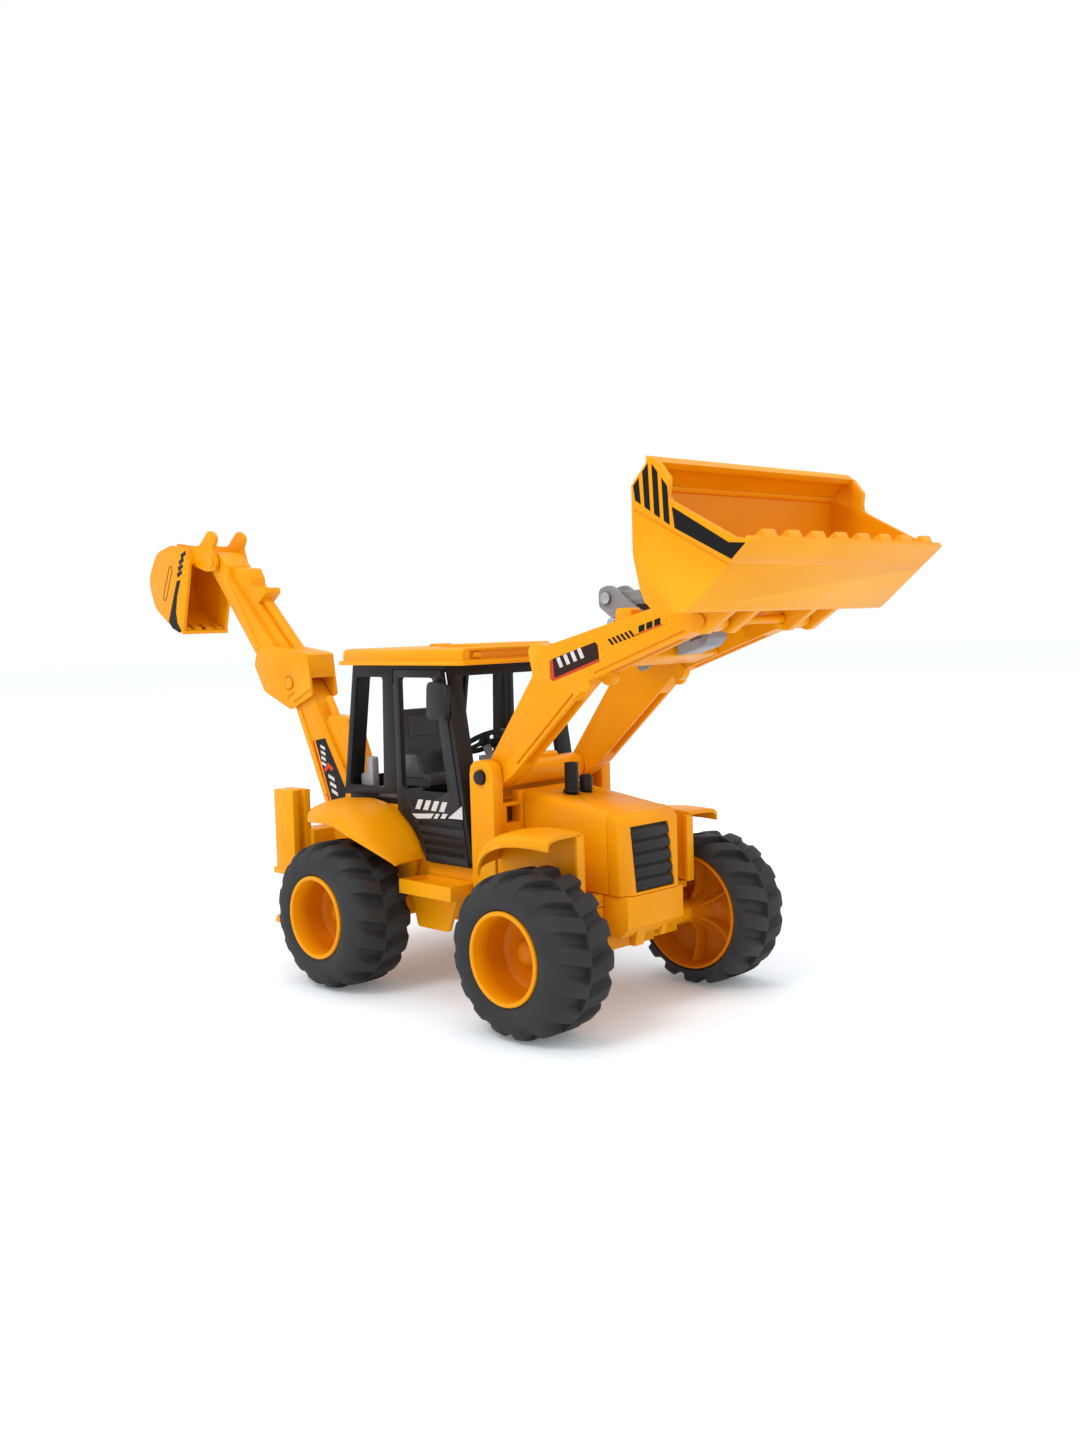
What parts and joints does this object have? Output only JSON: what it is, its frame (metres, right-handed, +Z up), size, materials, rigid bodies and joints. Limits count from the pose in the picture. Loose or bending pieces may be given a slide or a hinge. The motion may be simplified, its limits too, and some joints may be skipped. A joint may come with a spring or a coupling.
{
  "type": "toy backhoe loader",
  "caption": "Toy backhoe loader: wheeled body with an open cab, raised front bucket on twin arms with a tilt linkage, rear swing boom, dipper and digging bucket, and sliding stabilizer legs.",
  "frame": {"origin": "on the ground under the middle of the toy's overall length and width; the lowest points of the tyres are at z = 0", "axes": "+X forward towards the loader bucket, +Y to the toy's left, +Z up"},
  "size_m": [0.4822, 0.148, 0.2252],
  "materials": {
    "yellow_plastic": "satin-gloss injection-moulded plastic, warm yellow-orange",
    "black_plastic": "satin black moulded plastic",
    "tyre": "matte dark-grey moulded tyre",
    "grey_plastic": "satin mid-grey moulded plastic",
    "dark_grey_plastic": "matte dark-grey moulded plastic",
    "light_grey_plastic": "satin light-grey moulded plastic",
    "steel": "plain drawn steel pin"
  },
  "bodies": {
    "chassis": {"chassis_frame": "yellow_plastic", "front_deck": "yellow_plastic", "body_tub": "yellow_plastic", "side_step_left": "yellow_plastic", "side_step_right": "yellow_plastic", "front_bumper": "yellow_plastic", "hood": "yellow_plastic", "nose": "yellow_plastic", "grille": "black_plastic", "exhaust_stack": "black_plastic", "air_cleaner": "black_plastic", "bulkhead": "yellow_plastic", "loader_tower_left": "yellow_plastic", "loader_tower_right": "yellow_plastic", "lift_pin_left": "black_plastic", "lift_pin_right": "black_plastic", "front_fender_left": "yellow_plastic", "front_fender_right": "yellow_plastic", "rear_fender_left": "yellow_plastic", "rear_fender_right": "yellow_plastic", "cab_frame": "black_plastic", "cab_roof": "yellow_plastic", "dashboard": "grey_plastic", "operator_seat": "dark_grey_plastic", "rear_console": "light_grey_plastic", "rear_frame": "yellow_plastic"},
    "front_wheels": {"front_axle": "steel", "front_tyre_left": "tyre", "front_tyre_right": "tyre", "front_hub_left": "yellow_plastic", "front_hub_right": "yellow_plastic"},
    "rear_wheels": {"rear_axle": "steel", "rear_tyre_left": "tyre", "rear_tyre_right": "tyre", "rear_hub_left": "yellow_plastic", "rear_hub_right": "yellow_plastic"},
    "steering": {"steering_wheel": "black_plastic"},
    "door_left": {"door_left": "black_plastic"},
    "door_right": {"door_right": "black_plastic"},
    "loader_arms": {"loader_arm_left": "yellow_plastic", "loader_arm_right": "yellow_plastic", "cross_tube": "yellow_plastic", "rear_beam": "yellow_plastic", "front_beam": "yellow_plastic", "tilt_cylinder": "grey_plastic", "crank_shaft": "steel", "tip_shaft": "yellow_plastic"},
    "tilt_lever": {"tilt_lever": "grey_plastic", "lever_pin": "steel"},
    "tilt_link": {"tilt_link": "grey_plastic"},
    "loader_bucket": {"loader_bucket": "yellow_plastic", "bucket_pin": "steel"},
    "stabilizer_left": {"stabilizer_leg_left": "yellow_plastic"},
    "stabilizer_right": {"stabilizer_leg_right": "yellow_plastic"},
    "swing_post": {"swing_post": "yellow_plastic", "foot_pin": "black_plastic"},
    "boom": {"boom": "yellow_plastic"},
    "dipper": {"dipper": "yellow_plastic", "elbow_pin": "yellow_plastic"},
    "backhoe_bucket": {"backhoe_bucket": "yellow_plastic"}
  },
  "joints": [
    {"name": "front_wheels_roll", "type": "hinge", "parent": "chassis", "child": "front_wheels", "pos_m": [0.12447, 0, 0.03458], "axis": [0, 1, 0], "continuous": true},
    {"name": "rear_wheels_roll", "type": "hinge", "parent": "chassis", "child": "rear_wheels", "pos_m": [-0.00153, 0, 0.03458], "axis": [0, 1, 0], "continuous": true},
    {"name": "steering_turn", "type": "hinge", "parent": "chassis", "child": "steering", "pos_m": [0.03867, 0, 0.11018], "axis": [-0.4819, 0, 0.8762], "range_deg": [-170, 170]},
    {"name": "door_left_open", "type": "hinge", "parent": "chassis", "child": "door_left", "pos_m": [0.06607, 0.0368, 0.05958], "axis": [0.168, 0, -0.9858], "range_deg": [0, 50]},
    {"name": "door_right_open", "type": "hinge", "parent": "chassis", "child": "door_right", "pos_m": [0.06607, -0.0368, 0.05958], "axis": [-0.168, 0, 0.9858], "range_deg": [0, 50]},
    {"name": "loader_lift", "type": "hinge", "parent": "chassis", "child": "loader_arms", "pos_m": [0.07547, 0, 0.10058], "axis": [0, 1, 0], "range_deg": [-15, 60]},
    {"name": "bucket_tilt", "type": "hinge", "parent": "loader_arms", "child": "loader_bucket", "pos_m": [0.19647, 0, 0.16608], "axis": [0, 1, 0], "range_deg": [-12, 65]},
    {"name": "tilt_lever_turn", "type": "hinge", "parent": "loader_arms", "child": "tilt_lever", "pos_m": [0.14247, 0, 0.16608], "axis": [0, 1, 0], "range_deg": [-12, 65]},
    {"name": "tilt_link_turn", "type": "hinge", "parent": "tilt_lever", "child": "tilt_link", "pos_m": [0.12347, 0, 0.17658], "axis": [0, 1, 0], "range_deg": [-65, 12]},
    {"name": "backhoe_swing", "type": "hinge", "parent": "chassis", "child": "swing_post", "pos_m": [-0.06553, 0, 0.05558], "axis": [0, 0, 1], "range_deg": [-60, 60]},
    {"name": "boom_lift", "type": "hinge", "parent": "swing_post", "child": "boom", "pos_m": [-0.06653, 0, 0.06858], "axis": [0, 1, 0], "range_deg": [-45, 12]},
    {"name": "dipper_swing", "type": "hinge", "parent": "boom", "child": "dipper", "pos_m": [-0.10853, 0, 0.13808], "axis": [0, 1, 0], "range_deg": [-70, 5]},
    {"name": "backhoe_bucket_curl", "type": "hinge", "parent": "dipper", "child": "backhoe_bucket", "pos_m": [-0.17853, 0, 0.20658], "axis": [0, 1, 0], "range_deg": [-45, 60]},
    {"name": "stabilizer_left_slide", "type": "slide", "parent": "chassis", "child": "stabilizer_left", "axis": [0, 0, -1], "range_m": [0, 0.021]},
    {"name": "stabilizer_right_slide", "type": "slide", "parent": "chassis", "child": "stabilizer_right", "axis": [0, 0, -1], "range_m": [0, 0.021]}
  ],
  "couplings": [
    {"joint": "tilt_lever_turn", "follows": "bucket_tilt", "ratio": 1},
    {"joint": "tilt_link_turn", "follows": "bucket_tilt", "ratio": -1}
  ]
}
